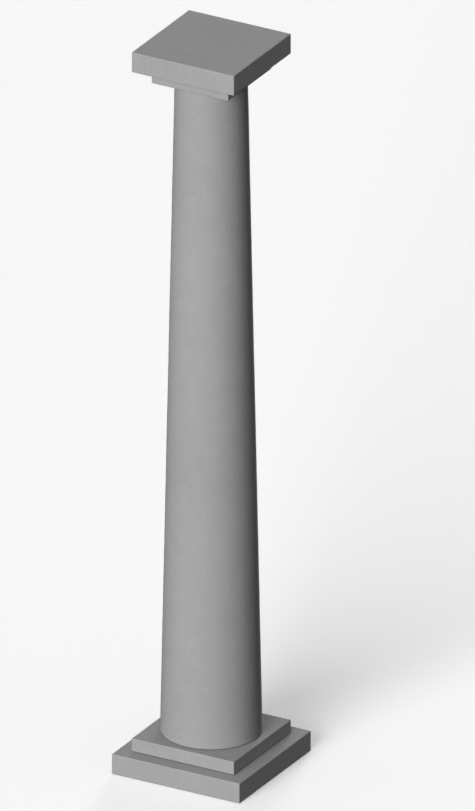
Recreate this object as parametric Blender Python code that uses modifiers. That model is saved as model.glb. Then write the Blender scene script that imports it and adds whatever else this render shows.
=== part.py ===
"""A free-standing conical column of cast stone.

A stepped square base carries a round shaft with straight sides that narrow upwards, and a stepped square
cap lies on the shaft. The column is five separate castings that stand on each other: plinth, base step,
shaft, neck slab and abacus. Metres, +Z up, with the origin at the middle of the plinth's underside.
"""

import math

import bmesh
import bpy
from mathutils import Matrix

# The column is set out on one module, and every size is so many modules.
MODULE = 0.100
COLUMN_HEIGHT = 27.0 * MODULE

PLINTH_SIDE = 5.0 * MODULE
PLINTH_HEIGHT = 0.75 * MODULE
STEP_SIDE = 4.0 * MODULE
STEP_HEIGHT = 0.5 * MODULE

SHAFT_FOOT_DIAMETER = 3.5 * MODULE
SHAFT_TOP_DIAMETER = 2.5 * MODULE

NECK_SIDE = 3.0 * MODULE
NECK_HEIGHT = 0.5 * MODULE
ABACUS_SIDE = 4.0 * MODULE
ABACUS_HEIGHT = 0.75 * MODULE

# Each casting rests on the one below across a dry bed joint.
JOINT = 0.0003

# The arrises, which are the edges where two faces meet, leave the mould slightly rounded.
ARRIS_RADIUS = 0.003
ARRIS_SEGMENTS = 3
ARRIS_LEAST_ANGLE = math.radians(40.0)
SHAFT_SIDES = 128

# Smooth grey cast stone. The castings differ a little in tone, as batches do. The greys are linear values.
STONE_GREY = 0.25
STONE_ROUGHNESS = 0.82
PLINTH_TONE = 1.01
STEP_TONE = 1.00
SHAFT_TONE = 1.00
NECK_TONE = 0.99
ABACUS_TONE = 0.98


def clear_scene():
    """Removes every object of the startup scene."""
    for thing in list(bpy.data.objects):
        bpy.data.objects.remove(thing, do_unlink=True)


def make_collection(name):
    """A collection for the column, linked to the scene."""
    collection = bpy.data.collections.new(name)
    bpy.context.scene.collection.children.link(collection)
    return collection


def make_axis(name, collection):
    """The empty on the column's axis at floor level, which carries the five castings."""
    axis = bpy.data.objects.new(name, None)
    axis.empty_display_size = PLINTH_SIDE / 2
    collection.objects.link(axis)
    return axis


def cast_stone(name, tone):
    """Smooth cast stone: neutral grey, matt and not metallic."""
    grey = STONE_GREY * tone
    stone = bpy.data.materials.new(name)
    stone.use_nodes = True
    shader = stone.node_tree.nodes["Principled BSDF"]
    shader.inputs["Base Color"].default_value = (grey, grey, grey, 1.0)
    shader.inputs["Roughness"].default_value = STONE_ROUGHNESS
    shader.inputs["Metallic"].default_value = 0.0
    stone.diffuse_color = (grey, grey, grey, 1.0)
    return stone


def place_casting(name, form, foot, tone, axis):
    """Makes a casting from a finished form whose foot is at its own zero, and stands it at height foot."""
    mesh = bpy.data.meshes.new(name)
    form.to_mesh(mesh)
    form.free()
    mesh.materials.append(cast_stone(f"{name}_stone", tone))
    casting = bpy.data.objects.new(name, mesh)
    axis.users_collection[0].objects.link(casting)
    casting.parent = axis
    casting.location.z = foot
    round_arrises(casting)
    return casting


def round_arrises(casting):
    """Rounds the edges that are sharper than the shallow ones between a shaft's flats."""
    arris = casting.modifiers.new("rounded arrises", "BEVEL")
    arris.width = ARRIS_RADIUS
    arris.segments = ARRIS_SEGMENTS
    arris.limit_method = "ANGLE"
    arris.angle_limit = ARRIS_LEAST_ANGLE


def make_slab(name, side, height, foot, tone, axis):
    """A square slab on the axis, its underside at height foot."""
    form = bmesh.new()
    size = Matrix.Diagonal((side, side, height, 1.0))
    bmesh.ops.create_cube(form, size=1.0, matrix=Matrix.Translation((0.0, 0.0, height / 2)) @ size)
    return place_casting(name, form, foot, tone, axis)


def make_shaft(name, height, foot, tone, axis):
    """The round shaft, a straight-sided cone cut off flat at both ends."""
    form = bmesh.new()
    bmesh.ops.create_cone(
        form,
        cap_ends=True,
        segments=SHAFT_SIDES,
        radius1=SHAFT_FOOT_DIAMETER / 2,
        radius2=SHAFT_TOP_DIAMETER / 2,
        depth=height,
        matrix=Matrix.Translation((0.0, 0.0, height / 2)),
    )
    shaft = place_casting(name, form, foot, tone, axis)
    shaft.data.shade_smooth()
    shaft.data.set_sharp_from_angle(angle=ARRIS_LEAST_ANGLE)
    return shaft


def build_column():
    """Stacks the five castings. The shaft takes up what height the slabs and joints leave."""
    collection = make_collection("conical_column")
    axis = make_axis("column_axis", collection)

    step_foot = PLINTH_HEIGHT + JOINT
    shaft_foot = step_foot + STEP_HEIGHT + JOINT
    abacus_foot = COLUMN_HEIGHT - ABACUS_HEIGHT
    neck_foot = abacus_foot - JOINT - NECK_HEIGHT
    shaft_height = neck_foot - JOINT - shaft_foot

    make_slab("plinth", PLINTH_SIDE, PLINTH_HEIGHT, 0.0, PLINTH_TONE, axis)
    make_slab("base_step", STEP_SIDE, STEP_HEIGHT, step_foot, STEP_TONE, axis)
    make_shaft("shaft", shaft_height, shaft_foot, SHAFT_TONE, axis)
    make_slab("neck_slab", NECK_SIDE, NECK_HEIGHT, neck_foot, NECK_TONE, axis)
    make_slab("abacus", ABACUS_SIDE, ABACUS_HEIGHT, abacus_foot, ABACUS_TONE, axis)


clear_scene()
build_column()
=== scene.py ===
"""Looks of a free-standing conical column in smooth grey cast stone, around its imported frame.

The column is five castings that stand on each other. Each one is a closed surface worked out on a grid: the
columns of the grid run round the casting, and its rows run from the middle of the underside, out to the
lower arris, up the side, over the upper arris and back to the middle of the top. An arris is the edge where
two faces meet, and a bed is the level face at either end of a casting. Lengths are in metres.
"""

import math

import bmesh
import bpy
import numpy as np
from mathutils import Matrix, Vector


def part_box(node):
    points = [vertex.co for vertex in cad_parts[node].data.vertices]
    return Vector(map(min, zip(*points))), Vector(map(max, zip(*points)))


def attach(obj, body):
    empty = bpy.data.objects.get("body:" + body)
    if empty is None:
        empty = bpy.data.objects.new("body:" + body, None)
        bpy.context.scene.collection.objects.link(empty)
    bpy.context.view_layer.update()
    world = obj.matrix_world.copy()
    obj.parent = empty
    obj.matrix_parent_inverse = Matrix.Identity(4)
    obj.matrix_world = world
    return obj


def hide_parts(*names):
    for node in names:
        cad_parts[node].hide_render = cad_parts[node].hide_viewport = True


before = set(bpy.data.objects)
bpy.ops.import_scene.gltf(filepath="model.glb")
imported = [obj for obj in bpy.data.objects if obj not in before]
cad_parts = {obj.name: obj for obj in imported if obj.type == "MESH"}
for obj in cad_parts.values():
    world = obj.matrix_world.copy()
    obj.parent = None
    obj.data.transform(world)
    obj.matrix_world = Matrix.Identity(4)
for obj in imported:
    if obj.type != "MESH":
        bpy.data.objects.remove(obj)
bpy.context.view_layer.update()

QUARTER_TURN = math.pi / 2
FULL_TURN = 2 * math.pi

# Sizes of the castings. What isn't here comes from the frame.
SHAFT_FOOT_RADIUS = 0.175
SHAFT_TOP_RADIUS = 0.125
ARRIS_RADIUS = 0.003

# A mould is never quite true. How far the arris radius and the faces wander, the shortest and longest waves
# in which they do, and how many waves are added up.
ARRIS_VARIATION = 0.10
ARRIS_WAVES = (0.02, 0.15)
FACE_RELIEF = 0.00012
SLAB_WAVES = (0.07, 0.4)
SHAFT_WAVES = (0.09, 0.5)
WAVE_COUNT = 28

# How finely the surfaces are drawn.
FACE_SPACING = 0.005
BED_SPACING = 0.020
SHAFT_SPACING = 0.0085
SHAFT_COLUMNS = 224
ARRIS_STEPS = 6
EDGE_STRIP = 0.0006
MERGE_DISTANCE = 1e-6

# The view of the picture: a parallel projection, so one scale holds all over. Angles are in degrees.
IMAGE_WIDTH = 475
IMAGE_HEIGHT = 811
PIXELS_PER_METRE = 293.1
FOOT_PIXEL = (210.8, 761.8)
VIEW_AZIMUTH = 29.3
VIEW_ELEVATION = 24.63
CAMERA_DISTANCE = 12.0

# Studio light. Azimuths are counted as the view's is. Strengths are Blender's own, and softness is a light's
# apparent diameter in degrees. The key lights the sides that the picture shows light, and the back light
# those that it doesn't show.
PURE_WHITE = "#ffffff"
KEY_AZIMUTH = 1.5
KEY_ELEVATION = 15.0
KEY_STRENGTH = 4.65
KEY_SOFTNESS = 40.0
TOP_AZIMUTH = 0.0
TOP_ELEVATION = 90.0
TOP_STRENGTH = 0.90
TOP_SOFTNESS = 60.0
BACK_AZIMUTH = 196.0
BACK_ELEVATION = 1.0
BACK_STRENGTH = 5.0
BACK_SOFTNESS = 20.0
AMBIENT_STRENGTH = 0.09

# The floor glows a little, as a light table does, so that it comes out nearly white.
FLOOR_WHITE = "#fdfdfd"
FLOOR_ROUGHNESS = 1.0
FLOOR_GLOW = 0.10
BACKDROP_WHITE = "#fafafa"
FLOOR_HALF_WIDTH = 60.0


def undulation(points, waves, seed):
    """A smooth relief with a spread of about one: a sum of plane sine waves over its usual size.

    Each wave has a direction, a phase and a length of its own, between the shortest and the longest.
    """
    rng = np.random.default_rng(seed)
    direction = rng.normal(size=(3, WAVE_COUNT))
    direction /= np.linalg.norm(direction, axis=0)
    length = np.exp(rng.uniform(*np.log(waves), WAVE_COUNT))
    phase = rng.uniform(0.0, FULL_TURN, WAVE_COUNT)
    swing = np.sin(points @ (direction * FULL_TURN / length) + phase)
    return swing.sum(axis=-1) * math.sqrt(2 / WAVE_COUNT)


def evenly(start, end, spacing, strip):
    """Places from start to end about one spacing apart, with one more just inside each end."""
    count = max(2, round((end - start) / spacing) + 1)
    return np.concatenate([[start], np.linspace(start + strip, end - strip, count), [end]])


def closed_surface(name, grid, **distances):
    """A mesh object from a grid of points, closed round its columns and drawn to a point at each end.

    Each of the distances is a number at every point, kept on the mesh under its name for the stone to read.
    """
    columns = grid.shape[1]
    points = np.concatenate([grid[1:-1].reshape(-1, 3), grid[:1, 0], grid[-1:, 0]])
    index = np.arange(len(points) - 2).reshape(-1, columns)
    after = np.roll(index, -1, axis=1)
    quads = np.stack([index[:-1], after[:-1], after[1:], index[1:]], -1).reshape(-1, 4)
    foot_fan = np.stack([np.full(columns, index.size), after[0], index[0]], -1)
    top_fan = np.stack([np.full(columns, index.size + 1), index[-1], after[-1]], -1)

    mesh = bpy.data.meshes.new(name)
    mesh.from_pydata(points.tolist(), [], quads.tolist() + foot_fan.tolist() + top_fan.tolist())
    for kind, values in distances.items():
        values = np.concatenate([values[1:-1].ravel(), values[:1, 0], values[-1:, 0]])
        mesh.attributes.new(kind, "FLOAT", "POINT").data.foreach_set("value", values)
    form = bmesh.new()
    form.from_mesh(mesh)
    bmesh.ops.remove_doubles(form, verts=form.verts, dist=MERGE_DISTANCE)
    form.to_mesh(mesh)
    form.free()
    mesh.shade_smooth()
    casting = bpy.data.objects.new(name, mesh)
    bpy.context.scene.collection.objects.link(casting)
    return casting


def joint_distance(level, joints):
    """How far each level is from the nearest of the joints, or 1 m where there is none."""
    return np.min([np.ones_like(level)] + [abs(level - joint) for joint in joints], axis=0)


def square_round(half):
    """The way round a square: its edge points in half widths, and the outward direction at each.

    A side keeps one direction. At a corner the point stays and the direction turns through a quarter turn,
    so that a radius along the direction rounds the corner.
    """
    along = evenly(-1.0, 1.0, FACE_SPACING / half, EDGE_STRIP / half)
    turn = np.linspace(0.0, QUARTER_TURN, ARRIS_STEPS + 1)[1:-1]
    edge = np.concatenate([np.stack([np.ones_like(along), along], 1), np.ones((len(turn), 2))])
    way = np.concatenate([np.tile([1.0, 0.0], (len(along), 1)), np.stack([np.cos(turn), np.sin(turn)], 1)])
    quarters = [np.array([[c, s], [-s, c]]) for c, s in ((1, 0), (0, 1), (-1, 0), (0, -1))]
    return np.concatenate([edge @ q for q in quarters]), np.concatenate([way @ q for q in quarters])


def slab_rows(half, height):
    """The rows of a slab, from the middle of the underside to the middle of the top.

    Gives how far out each row lies, in parts of the half width, how far up, in parts of the height, and its
    arris angle: a quarter turn down on the underside, level up the side, and a quarter turn up on the top.
    """
    bed = evenly(0.0, 1.0, BED_SPACING / half, EDGE_STRIP / half)
    side = evenly(0.0, 1.0, FACE_SPACING / height, EDGE_STRIP / height)
    turn = np.linspace(0.0, QUARTER_TURN, ARRIS_STEPS + 1)[1:-1]
    stretches = (
        (bed, 0.0, -QUARTER_TURN),
        (1.0, 0.0, turn - QUARTER_TURN),
        (1.0, side, 0.0),
        (1.0, 1.0, turn),
        (bed[::-1], 1.0, QUARTER_TURN),
    )
    rows = zip(*(np.broadcast_arrays(*stretch) for stretch in stretches))
    return [np.concatenate(values)[:, None] for values in rows]


def wandering_radius(rim, rise, seed):
    """The arris radius of a slab, which wanders a little along the foot's rim and along the top's.

    It is the true radius times one plus the variation times an undulation, which is held between minus
    one and one. Between the two rims it changes evenly with the rise up the side.
    """
    foot_radius, top_radius = (
        ARRIS_RADIUS * (1 + ARRIS_VARIATION * np.tanh(undulation(rim, ARRIS_WAVES, seed + end)))
        for end in (0, 1)
    )
    return foot_radius + (top_radius - foot_radius) * rise


def slab_casting(name, low, high, joints, seed):
    """A square slab with rounded arrises, between its lowest and highest corners.

    Each point is an edge point of a square, brought in by the arris radius, plus that radius along the
    outward direction times the cosine of the arris angle. Its height is that of the bed, brought in by the
    radius, plus the radius times the sine. The sides then move in and out along the outward direction by a
    low relief, which fades over the arrises. A point's distance from the nearest arris comes from its two
    smallest depths below the faces, squared, added and rooted.
    """
    half = (high[0] - low[0]) / 2
    height = high[2] - low[2]
    edge, way = square_round(half)
    reach, rise, bend = slab_rows(half, height)
    rim = np.column_stack([edge * half, np.full(len(edge), low[2])])
    radius = wandering_radius(rim, rise, seed)
    plan = edge * ((half - radius) * reach)[..., None] + way * (radius * np.cos(bend))[..., None]
    level = low[2] + radius + (height - 2 * radius) * rise + radius * np.sin(bend)
    grid = np.concatenate([plan, level[..., None]], axis=-1)

    relief = FACE_RELIEF * undulation(grid, SLAB_WAVES, seed + 2) * np.cos(bend) ** 2
    grid[..., :2] += way * relief[..., None]

    to_sides = half - abs(grid[..., :2])
    to_bed = np.minimum(level - low[2], high[2] - level)
    depths = np.clip(np.concatenate([to_sides, to_bed[..., None]], axis=-1), 0.0, None)
    return closed_surface(
        name,
        grid,
        arris_distance=np.linalg.norm(np.sort(depths, axis=-1)[..., :2], axis=-1),
        joint_distance=joint_distance(level, joints),
    )


def arc(centre, start, end):
    """Points of an arris in profile: its centre plus the arris radius along each angle from start to end."""
    turn = np.linspace(start, end, ARRIS_STEPS + 1)
    return np.array(centre) + ARRIS_RADIUS * np.stack([np.cos(turn), np.sin(turn)], 1)


def shaft_profile(height):
    """The outline of the shaft: how far out and how far up it lies, from the axis at the foot to the top.

    It runs out along the underside, turns up an arc that meets both the bed and the sloping side, narrows
    evenly up the side, and turns in over a second arc to the top. The centre of an arc is one arris radius
    from the bed and from the side. So it lies in from the side's own end by the arris radius over the cosine
    of the slope, and by the arris radius times the tangent of the slope, which is taken off at the foot and
    given back at the top.
    """
    slope = math.atan2(SHAFT_FOOT_RADIUS - SHAFT_TOP_RADIUS, height)
    setback = ARRIS_RADIUS / math.cos(slope)
    lean = ARRIS_RADIUS * math.tan(slope)
    foot_arc = arc((SHAFT_FOOT_RADIUS - setback - lean, ARRIS_RADIUS), -QUARTER_TURN, slope)
    top_arc = arc((SHAFT_TOP_RADIUS - setback + lean, height - ARRIS_RADIUS), slope, QUARTER_TURN)

    up = evenly(0.0, 1.0, SHAFT_SPACING / height, EDGE_STRIP / height)[1:-1, None]
    side = foot_arc[-1] + (top_arc[0] - foot_arc[-1]) * up
    foot_flat = foot_arc[0, 0]
    reach = evenly(0.0, 1.0, BED_SPACING / foot_flat, EDGE_STRIP / foot_flat)[:-1, None]
    foot_bed = foot_arc[0] * np.hstack([reach, np.ones_like(reach)])
    top_bed = top_arc[-1] * np.hstack([reach, np.ones_like(reach)])
    return np.concatenate([foot_bed, foot_arc, side, top_arc, top_bed[::-1]])


def shaft_casting(name, low, high, joints, seed):
    """The round shaft, a straight-sided cone with rounded arrises, between its lowest and highest corners.

    Each row is a circle about the axis, with the radius and the height of a point of the profile. The side
    then moves in and out by a low relief, which fades towards the arrises. A point's distance from the
    nearest arris comes from its depths below the sloping side and below the bed, squared, added and rooted.
    """
    height = high[2] - low[2]
    profile = shaft_profile(height)
    turn = np.linspace(0.0, FULL_TURN, SHAFT_COLUMNS, endpoint=False)
    ring = np.stack([np.cos(turn), np.sin(turn)], 1)
    level = np.broadcast_to(low[2] + profile[:, 1:], (len(profile), SHAFT_COLUMNS))
    grid = np.concatenate([profile[:, None, :1] * ring, level[..., None]], axis=-1)

    to_bed = np.minimum(level - low[2], high[2] - level)
    fade = np.clip(to_bed / ARRIS_RADIUS - 1, 0.0, 1.0)
    relief = FACE_RELIEF * undulation(grid, SHAFT_WAVES, seed) * fade
    grid[..., :2] += ring * relief[..., None]

    full_radius = SHAFT_FOOT_RADIUS + (SHAFT_TOP_RADIUS - SHAFT_FOOT_RADIUS) * (level - low[2]) / height
    to_side = np.clip(full_radius - profile[:, :1], 0.0, None)
    return closed_surface(
        name,
        grid,
        arris_distance=np.hypot(to_side, to_bed),
        joint_distance=joint_distance(level, joints),
    )


def linear(colour):
    """An sRGB hex colour as linear red, green, blue and a full alpha."""
    parts = [int(colour[i : i + 2], 16) / 255 for i in (1, 3, 5)]
    return [p / 12.92 if p <= 0.04045 else ((p + 0.055) / 1.055) ** 2.4 for p in parts] + [1.0]


def add_node(tree, kind, inputs=None, **settings):
    """Adds a node with its settings, and links each named input to a socket or gives it a value."""
    node = tree.nodes.new(kind)
    for name, value in settings.items():
        setattr(node, name, value)
    for name, value in (inputs or {}).items():
        if isinstance(value, bpy.types.NodeSocket):
            tree.links.new(value, node.inputs[name])
        else:
            node.inputs[name].default_value = value
    return node


# Cast stone: fine sand and cement poured into a smooth mould. It gives the eye an even, matt, neutral grey,
# faintly cloudy where the mix dried unevenly, with sand just showing, a few pinholes left by air, arrises
# rubbed a little paler, and a line of shade at each bed joint. The tone is how light the stone is at a
# spot, in parts of the sand's own grey.
STONE_IOR = 1.5
SMOOTHEST = 0.78
ROUGHEST = 0.92

# Clouds of the mix, and the smaller patches in them. A noise comes out mostly between its low and its high.
CLOUD_SIZE = 0.30
PATCH_SIZE = 0.045
PATCH_SHARE = 0.45
PATCH_DETAIL = 3.0
PATCH_ROUGHNESS = 0.55
MOTTLE = 0.06
NOISE_LOW = 0.3
NOISE_HIGH = 0.7

# The rubbed strip along an arris, and the line of shade at a joint.
RUBBED_WIDTH = 0.006
RUBBED_GAIN = 0.10
JOINT_WIDTH = 0.006
JOINT_SHADE = 0.25

# Real pinholes are about 1 mm across. They are drawn up to 5 mm across, and far apart. The share is that
# of the cells which hold one.
PINHOLE_SPACING = 0.040
PINHOLE_RADIUS = 0.0026
PINHOLE_SHARE = 0.35
# How dark a pinhole is painted: painted shade for its inside.
PINHOLE_SHADE = 0.55
PINHOLE_STEEPNESS = 2.0

# The cement between the sand has a grit of its own, about 1 mm, which also bends the outlines of the grains.
GRIT_SIZE = 0.0011
GRIT_DETAIL = 2.0
GRIT_MOTTLE = 0.10
GRAIN_BEND = 0.0028

# Real sand is 1 to 2 mm. A pixel is 3.4 mm, so the grains are drawn up to 3 mm wide to show at all. The
# widest grain is whole out to its inner radius and gone at its outer one, both in parts of the spacing, and
# the smallest is so much of its size. The cement has the grey in the middle of the sand's.
SAND_SPACING = 0.003
SAND_INNER = 0.30
SAND_OUTER = 0.50
SAND_SMALLEST = 0.50
SAND_COLOURS = ((0.0, "#727272"), (0.2, "#818181"), (0.5, "#898989"), (0.8, "#919191"), (1.0, "#a2a2a2"))
CEMENT_PLACE = 0.5

# The relief of the surface: its full height, and how much of it the grains and the pinholes have.
RELIEF_HEIGHT = 0.00025
RELIEF_STRENGTH = 0.5
GRAIN_RISE = 0.5
PINHOLE_DEPTH = 2.0


def clouds_and_patches(tree, spot):
    """The clouds of the mix, and the smaller patches in them."""
    return [
        add_node(
            tree,
            "ShaderNodeTexNoise",
            {"Vector": spot, "Scale": 1 / size, "Detail": PATCH_DETAIL, "Roughness": PATCH_ROUGHNESS},
        ).outputs["Fac"]
        for size in (CLOUD_SIZE, PATCH_SIZE)
    ]


def pinholes(tree, spot):
    """One inside a pinhole and nought outside: round spots of all sizes up to the widest, in some cells."""
    cells = add_node(tree, "ShaderNodeTexVoronoi", {"Vector": spot, "Scale": 1 / PINHOLE_SPACING}).outputs
    chance = add_node(tree, "ShaderNodeSeparateColor", {"Color": cells["Color"]}).outputs["Red"]
    widest = PINHOLE_RADIUS / PINHOLE_SPACING
    radius = add_node(
        tree,
        "ShaderNodeMapRange",
        {"Value": chance, "From Min": 1 - PINHOLE_SHARE, "From Max": 1.0, "To Min": 0.0, "To Max": widest},
    ).outputs["Result"]
    inside = add_node(
        tree, "ShaderNodeMath", {0: radius, 1: cells["Distance"]}, operation="SUBTRACT"
    ).outputs["Value"]
    return add_node(
        tree,
        "ShaderNodeMath",
        {0: inside, 1: PINHOLE_STEEPNESS / widest},
        operation="MULTIPLY",
        use_clamp=True,
    ).outputs["Value"]


def cement_grit(tree, spot):
    """The grit of the cement, as a number and as a colour."""
    return add_node(
        tree, "ShaderNodeTexNoise", {"Vector": spot, "Scale": 1 / GRIT_SIZE, "Detail": GRIT_DETAIL}
    ).outputs


def sand_grains(tree, spot, grit):
    """A grain of sand in each cell, with a size and a grey of its own.

    Gives one on a grain and nought on the cement, and the grain's place in the colours of the sand.
    """
    bent = add_node(
        tree,
        "ShaderNodeVectorMath",
        {0: grit["Color"], 1: 3 * [GRAIN_BEND], 2: spot},
        operation="MULTIPLY_ADD",
    ).outputs["Vector"]
    cells = add_node(tree, "ShaderNodeTexVoronoi", {"Vector": bent, "Scale": 1 / SAND_SPACING}).outputs
    chances = add_node(tree, "ShaderNodeSeparateColor", {"Color": cells["Color"]}).outputs
    size = add_node(
        tree, "ShaderNodeMapRange", {"Value": chances["Green"], "To Min": SAND_SMALLEST, "To Max": 1.0}
    ).outputs["Result"]
    reach = add_node(
        tree, "ShaderNodeMath", {0: cells["Distance"], 1: size}, operation="DIVIDE"
    ).outputs["Value"]
    grain = add_node(
        tree,
        "ShaderNodeMapRange",
        {"Value": reach, "From Min": SAND_INNER, "From Max": SAND_OUTER, "To Min": 1.0, "To Max": 0.0},
        interpolation_type="SMOOTHSTEP",
    ).outputs["Result"]
    return grain, chances["Red"]


def sand_and_cement(tree, grain, chance):
    """The colour of each grain, and that of the cement between them."""
    place = add_node(
        tree, "ShaderNodeMix", {"Factor": grain, "A": CEMENT_PLACE, "B": chance}
    ).outputs["Result"]
    sand = add_node(tree, "ShaderNodeValToRGB", {"Fac": place})
    stops = sand.color_ramp.elements
    while len(stops) < len(SAND_COLOURS):
        stops.new(CEMENT_PLACE)
    for stop, (position, colour) in zip(stops, SAND_COLOURS):
        stop.position = position
        stop.color = linear(colour)
    return sand.outputs["Color"]


def dried_mix(tree, batch, cloud, patch):
    """The tone of the mix: that of its batch, lighter and darker with the clouds and patches."""
    mixed = add_node(
        tree, "ShaderNodeMix", {"Factor": PATCH_SHARE, "A": cloud, "B": patch}
    ).outputs["Result"]
    return add_node(
        tree,
        "ShaderNodeMapRange",
        {
            "Value": mixed,
            "From Min": NOISE_LOW,
            "From Max": NOISE_HIGH,
            "To Min": batch * (1 - MOTTLE),
            "To Max": batch * (1 + MOTTLE),
        },
    ).outputs["Result"]


def rub_arrises(tree, tone, patch):
    """The tone with its arrises rubbed paler, more in some patches than in others."""
    arris = add_node(tree, "ShaderNodeAttribute", attribute_name="arris_distance").outputs["Fac"]
    rubbed = add_node(
        tree,
        "ShaderNodeMapRange",
        {"Value": arris, "From Min": 0.0, "From Max": RUBBED_WIDTH, "To Min": RUBBED_GAIN, "To Max": 0.0},
        interpolation_type="SMOOTHSTEP",
    ).outputs["Result"]
    return add_node(
        tree, "ShaderNodeMath", {0: rubbed, 1: patch, 2: tone}, operation="MULTIPLY_ADD"
    ).outputs["Value"]


def shade_joints(tree, tone):
    """The tone with its line of shade at each bed joint."""
    joint = add_node(tree, "ShaderNodeAttribute", attribute_name="joint_distance").outputs["Fac"]
    shade = add_node(
        tree,
        "ShaderNodeMapRange",
        {"Value": joint, "From Min": 0.0, "From Max": JOINT_WIDTH, "To Min": JOINT_SHADE, "To Max": 1.0},
        interpolation_type="SMOOTHSTEP",
    ).outputs["Result"]
    return add_node(tree, "ShaderNodeMath", {0: tone, 1: shade}, operation="MULTIPLY").outputs["Value"]


def shade_pinholes(tree, tone, pinhole):
    """The tone with its pinholes dark: painted shade for the inside of each pit."""
    return add_node(
        tree, "ShaderNodeMix", {"Factor": pinhole, "A": tone, "B": PINHOLE_SHADE}
    ).outputs["Result"]


def show_grit(tree, tone, grit):
    """The tone made lighter and darker by the grit."""
    gritty = add_node(
        tree,
        "ShaderNodeMapRange",
        {
            "Value": grit["Fac"],
            "From Min": NOISE_LOW,
            "From Max": NOISE_HIGH,
            "To Min": 1 - GRIT_MOTTLE,
            "To Max": 1 + GRIT_MOTTLE,
        },
    ).outputs["Result"]
    return add_node(tree, "ShaderNodeMath", {0: tone, 1: gritty}, operation="MULTIPLY").outputs["Value"]


def surface_relief(tree, grain, pinhole, grit):
    """The small relief: grains stand proud of the gritty cement, and pinholes are sunk into it."""
    proud = add_node(
        tree, "ShaderNodeMath", {0: grain, 1: GRAIN_RISE, 2: grit["Fac"]}, operation="MULTIPLY_ADD"
    ).outputs["Value"]
    rise = add_node(
        tree, "ShaderNodeMath", {0: pinhole, 1: -PINHOLE_DEPTH, 2: proud}, operation="MULTIPLY_ADD"
    ).outputs["Value"]
    return add_node(
        tree, "ShaderNodeBump", {"Height": rise, "Strength": RELIEF_STRENGTH, "Distance": RELIEF_HEIGHT}
    ).outputs["Normal"]


def cast_stone(name, batch, offset):
    """The cast stone of one casting: batch is how light its mix came out, offset moves the pattern."""
    stone = bpy.data.materials.new(name)
    stone.use_nodes = True
    tree = stone.node_tree
    tree.nodes.clear()
    place = add_node(tree, "ShaderNodeTexCoord").outputs["Object"]
    spot = add_node(tree, "ShaderNodeMapping", {"Vector": place, "Location": offset}).outputs["Vector"]

    cloud, patch = clouds_and_patches(tree, spot)
    pinhole = pinholes(tree, spot)
    grit = cement_grit(tree, spot)
    grain, chance = sand_grains(tree, spot, grit)

    tone = dried_mix(tree, batch, cloud, patch)
    tone = rub_arrises(tree, tone, patch)
    tone = shade_joints(tree, tone)
    tone = shade_pinholes(tree, tone, pinhole)
    tone = show_grit(tree, tone, grit)
    greys = sand_and_cement(tree, grain, chance)
    colour = add_node(
        tree, "ShaderNodeVectorMath", {"Vector": greys, "Scale": tone}, operation="SCALE"
    ).outputs["Vector"]

    relief = surface_relief(tree, grain, pinhole, grit)
    roughness = add_node(
        tree, "ShaderNodeMapRange", {"Value": patch, "To Min": SMOOTHEST, "To Max": ROUGHEST}
    ).outputs["Result"]
    shader = add_node(
        tree,
        "ShaderNodeBsdfPrincipled",
        {"Base Color": colour, "Normal": relief, "Roughness": roughness, "IOR": STONE_IOR},
    ).outputs["BSDF"]
    add_node(tree, "ShaderNodeOutputMaterial", {"Surface": shader})
    return stone


def direction(azimuth, elevation):
    """A unit vector from the column towards a place seen from it, in degrees; azimuth 0 is the -Y side."""
    turn, lift = math.radians(azimuth), math.radians(elevation)
    return Vector((math.sin(turn) * math.cos(lift), -math.cos(turn) * math.cos(lift), math.sin(lift)))


def place_camera():
    """A parallel camera that puts the foot of the column's axis on its pixel of the picture.

    A pixel is counted by its centre, so the middle of the picture is half of one less than its size.
    """
    turn = math.radians(VIEW_AZIMUTH)
    back = direction(VIEW_AZIMUTH, VIEW_ELEVATION)
    right = Vector((math.cos(turn), math.sin(turn), 0.0))
    up = back.cross(right)
    across = ((IMAGE_WIDTH - 1) / 2 - FOOT_PIXEL[0]) / PIXELS_PER_METRE
    above = (FOOT_PIXEL[1] - (IMAGE_HEIGHT - 1) / 2) / PIXELS_PER_METRE

    lens = bpy.data.cameras.new("camera")
    lens.type = "ORTHO"
    lens.ortho_scale = IMAGE_HEIGHT / PIXELS_PER_METRE
    camera = bpy.data.objects.new("camera", lens)
    place = Matrix.Translation(right * across + up * above + back * CAMERA_DISTANCE)
    camera.matrix_world = place @ Matrix((right, up, back)).transposed().to_4x4()
    bpy.context.scene.collection.objects.link(camera)
    bpy.context.scene.camera = camera


def add_sun(name, azimuth, elevation, strength, softness):
    """A distant light of a given apparent diameter."""
    light = bpy.data.lights.new(name, "SUN")
    light.energy = strength
    light.angle = math.radians(softness)
    sun = bpy.data.objects.new(name, light)
    sun.rotation_euler = direction(azimuth, elevation).to_track_quat("Z", "Y").to_euler()
    bpy.context.scene.collection.objects.link(sun)


def light_world():
    """A dim even light from all round, behind a pale backdrop that only the camera sees."""
    world = bpy.data.worlds.new("studio")
    world.use_nodes = True
    tree = world.node_tree
    tree.nodes.clear()
    ambient = add_node(
        tree, "ShaderNodeBackground", {"Color": linear(PURE_WHITE), "Strength": AMBIENT_STRENGTH}
    ).outputs["Background"]
    backdrop = add_node(
        tree, "ShaderNodeBackground", {"Color": linear(BACKDROP_WHITE)}
    ).outputs["Background"]
    seen = add_node(tree, "ShaderNodeLightPath").outputs["Is Camera Ray"]
    mixed = add_node(tree, "ShaderNodeMixShader", {0: seen, 1: ambient, 2: backdrop}).outputs["Shader"]
    add_node(tree, "ShaderNodeOutputWorld", {"Surface": mixed})
    bpy.context.scene.world = world


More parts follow.
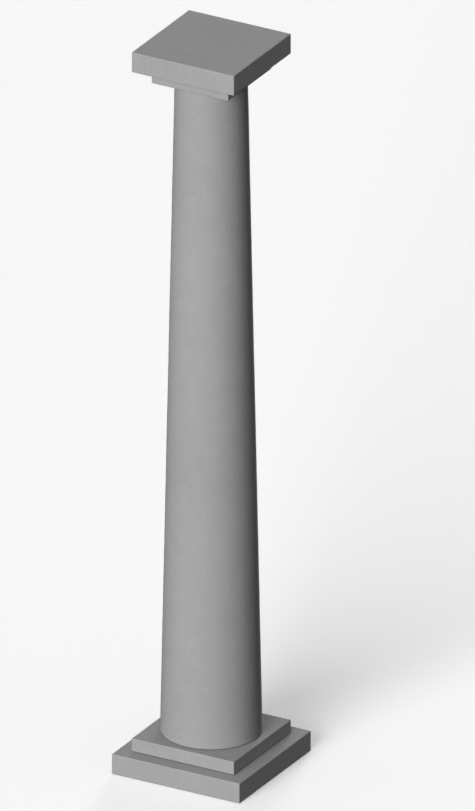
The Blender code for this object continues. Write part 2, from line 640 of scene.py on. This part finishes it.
def lay_floor():
    """A wide plain floor. Its bounce is left off the column, whose shaded sides the picture shows dark."""
    corners = FLOOR_HALF_WIDTH * np.array([[-1, -1, 0], [1, -1, 0], [1, 1, 0], [-1, 1, 0]])
    mesh = bpy.data.meshes.new("floor")
    mesh.from_pydata(corners.tolist(), [], [(0, 1, 2, 3)])
    paint = bpy.data.materials.new("matt_white_acrylic")
    paint.use_nodes = True
    shader = paint.node_tree.nodes["Principled BSDF"]
    shader.inputs["Base Color"].default_value = linear(FLOOR_WHITE)
    shader.inputs["Roughness"].default_value = FLOOR_ROUGHNESS
    shader.inputs["Emission Color"].default_value = linear(PURE_WHITE)
    shader.inputs["Emission Strength"].default_value = FLOOR_GLOW
    mesh.materials.append(paint)
    floor = bpy.data.objects.new("floor", mesh)
    floor.visible_diffuse = False
    floor.visible_glossy = False
    bpy.context.scene.collection.objects.link(floor)


# Each casting: how it is made, how light its mix came out, the ends at which its own arris meets a wider
# neighbour, and the seed of its relief.
CASTINGS = {
    "plinth": (slab_casting, 1.01, (), 11),
    "base_step": (slab_casting, 1.00, ("foot",), 23),
    "shaft": (shaft_casting, 1.00, ("foot", "top"), 37),
    "neck_slab": (slab_casting, 0.99, ("top",), 41),
    "abacus": (slab_casting, 0.98, (), 53),
}

# How far the pattern of the stone moves from one casting to the next, so that no two are marked alike.
PATTERN_STEP = (1.7, 0.9)


def cast_column():
    """Puts each casting in the place of its node, on the one body, with its own batch of stone."""
    for number, (node, (make, batch, ends, seed)) in enumerate(CASTINGS.items()):
        low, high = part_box(node)
        joints = [{"foot": low[2], "top": high[2]}[end] for end in ends]
        casting = make(f"{node}_casting", low, high, joints, seed)
        offset = (number * PATTERN_STEP[0], number * PATTERN_STEP[1], 0.0)
        casting.data.materials.append(cast_stone(f"{node}_cast_stone", batch, offset))
        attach(casting, "root")
        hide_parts(node)


bpy.context.scene.view_settings.view_transform = "Standard"
place_camera()
light_world()
add_sun("key_light", KEY_AZIMUTH, KEY_ELEVATION, KEY_STRENGTH, KEY_SOFTNESS)
add_sun("top_light", TOP_AZIMUTH, TOP_ELEVATION, TOP_STRENGTH, TOP_SOFTNESS)
add_sun("back_light", BACK_AZIMUTH, BACK_ELEVATION, BACK_STRENGTH, BACK_SOFTNESS)
lay_floor()
cast_column()
